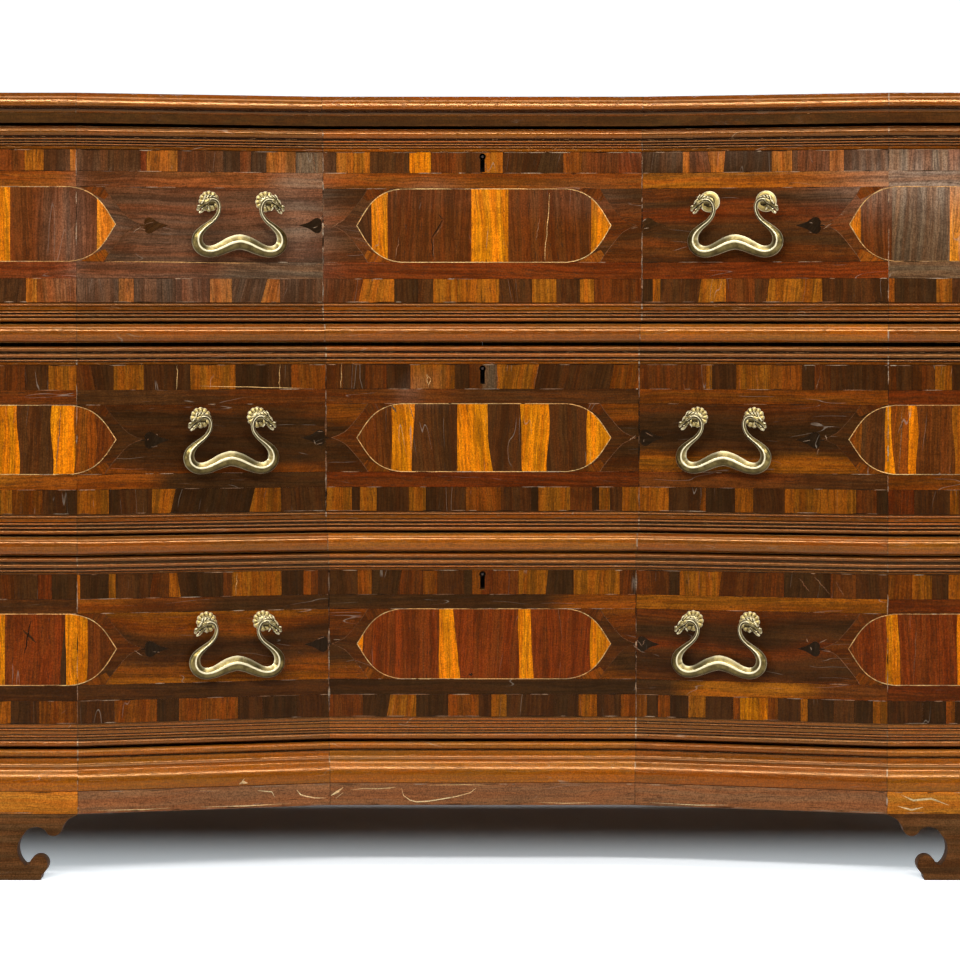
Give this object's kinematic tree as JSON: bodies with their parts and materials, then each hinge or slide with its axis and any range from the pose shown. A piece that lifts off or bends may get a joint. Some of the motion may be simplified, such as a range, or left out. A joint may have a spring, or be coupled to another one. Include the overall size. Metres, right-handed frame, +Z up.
{
  "type": "bombe chest",
  "caption": "Baroque chest of drawers with a front broken in plan, marquetry drawer fronts between reeded edges, swan-neck brass bails and bracket feet.",
  "frame": {"origin": "on the floor, under the middle of the whole chest", "axes": "+X the width, -Y the front with the drawers, +Z up"},
  "size_m": [1.376, 0.65, 0.824],
  "materials": {
    "walnut": "polished walnut veneer",
    "moulding_wood": "polished plum-wood moulding",
    "marquetry": "polished walnut and plum marquetry",
    "carcass_pine": "bare aged pine",
    "drawer_oak": "bare aged oak",
    "brass": "cast brass, worn",
    "lock_iron": "dark wrought iron"
  },
  "bodies": {
    "carcass": {"top_board": "walnut", "top_edge_moulding": "moulding_wood", "frieze_rail": "moulding_wood", "side_left": "walnut", "side_right": "walnut", "divider_upper": "carcass_pine", "divider_lower": "carcass_pine", "divider_bead_upper": "moulding_wood", "divider_bead_lower": "moulding_wood", "bottom_board": "carcass_pine", "base_rail": "carcass_pine", "base_moulding": "moulding_wood", "base_plinth": "moulding_wood", "foot_front_left": "moulding_wood", "foot_front_right": "moulding_wood", "foot_back_left": "moulding_wood", "foot_back_right": "moulding_wood", "foot_blocks": "carcass_pine", "back_boards": "carcass_pine", "drawer_stops": "carcass_pine"},
    "lower_drawer": {"lower_front": "carcass_pine", "lower_marquetry": "marquetry", "lower_reeding": "moulding_wood", "lower_drawer_side_left": "drawer_oak", "lower_drawer_side_right": "drawer_oak", "lower_drawer_back": "drawer_oak", "lower_drawer_bottom": "drawer_oak", "lower_lock_case": "lock_iron", "lower_rosettes": "brass", "lower_handle_posts": "brass"},
    "lower_bolt": {"lower_lock_bolt": "lock_iron"},
    "lower_bail_left_swing": {"lower_bail_left": "brass"},
    "lower_bail_right_swing": {"lower_bail_right": "brass"},
    "middle_drawer": {"middle_front": "carcass_pine", "middle_marquetry": "marquetry", "middle_reeding": "moulding_wood", "middle_drawer_side_left": "drawer_oak", "middle_drawer_side_right": "drawer_oak", "middle_drawer_back": "drawer_oak", "middle_drawer_bottom": "drawer_oak", "middle_lock_case": "lock_iron", "middle_rosettes": "brass", "middle_handle_posts": "brass"},
    "middle_bolt": {"middle_lock_bolt": "lock_iron"},
    "middle_bail_left_swing": {"middle_bail_left": "brass"},
    "middle_bail_right_swing": {"middle_bail_right": "brass"},
    "upper_drawer": {"upper_front": "carcass_pine", "upper_marquetry": "marquetry", "upper_reeding": "moulding_wood", "upper_drawer_side_left": "drawer_oak", "upper_drawer_side_right": "drawer_oak", "upper_drawer_back": "drawer_oak", "upper_drawer_bottom": "drawer_oak", "upper_lock_case": "lock_iron", "upper_rosettes": "brass", "upper_handle_posts": "brass"},
    "upper_bolt": {"upper_lock_bolt": "lock_iron"},
    "upper_bail_left_swing": {"upper_bail_left": "brass"},
    "upper_bail_right_swing": {"upper_bail_right": "brass"}
  },
  "joints": [
    {"name": "lower_drawer_slide", "type": "slide", "parent": "carcass", "child": "lower_drawer", "axis": [0, -1, 0], "range_m": [0, 0.4]},
    {"name": "lower_bolt_slide", "type": "slide", "parent": "lower_drawer", "child": "lower_bolt", "axis": [0, 0, 1], "range_m": [0, 0.009]},
    {"name": "lower_bail_left_hinge", "type": "hinge", "parent": "lower_drawer", "child": "lower_bail_left_swing", "pos_m": [-0.25927, -0.28229, 0.267], "axis": [-0.9677, -0.2521, 0], "range_deg": [0, 90]},
    {"name": "lower_bail_right_hinge", "type": "hinge", "parent": "lower_drawer", "child": "lower_bail_right_swing", "pos_m": [0.25017, -0.27992, 0.267], "axis": [-0.9677, 0.2521, 0], "range_deg": [0, 90]},
    {"name": "middle_drawer_slide", "type": "slide", "parent": "carcass", "child": "middle_drawer", "axis": [0, -1, 0], "range_m": [0, 0.4]},
    {"name": "middle_bolt_slide", "type": "slide", "parent": "middle_drawer", "child": "middle_bolt", "axis": [0, 0, 1], "range_m": [0, 0.009]},
    {"name": "middle_bail_left_hinge", "type": "hinge", "parent": "middle_drawer", "child": "middle_bail_left_swing", "pos_m": [-0.26503, -0.28332, 0.4835], "axis": [-0.967, -0.2549, 0], "range_deg": [0, 90]},
    {"name": "middle_bail_right_hinge", "type": "hinge", "parent": "middle_drawer", "child": "middle_bail_right_swing", "pos_m": [0.25443, -0.28052, 0.4835], "axis": [-0.967, 0.2549, 0], "range_deg": [0, 90]},
    {"name": "upper_drawer_slide", "type": "slide", "parent": "carcass", "child": "upper_drawer", "axis": [0, -1, 0], "range_m": [0, 0.4]},
    {"name": "upper_bolt_slide", "type": "slide", "parent": "upper_drawer", "child": "upper_bolt", "axis": [0, 0, 1], "range_m": [0, 0.009]},
    {"name": "upper_bail_left_hinge", "type": "hinge", "parent": "upper_drawer", "child": "upper_bail_left_swing", "pos_m": [-0.25599, -0.28042, 0.712], "axis": [-0.9662, -0.2577, 0], "range_deg": [0, 90]},
    {"name": "upper_bail_right_hinge", "type": "hinge", "parent": "upper_drawer", "child": "upper_bail_right_swing", "pos_m": [0.26639, -0.28319, 0.712], "axis": [-0.9662, 0.2577, 0], "range_deg": [0, 90]}
  ]
}
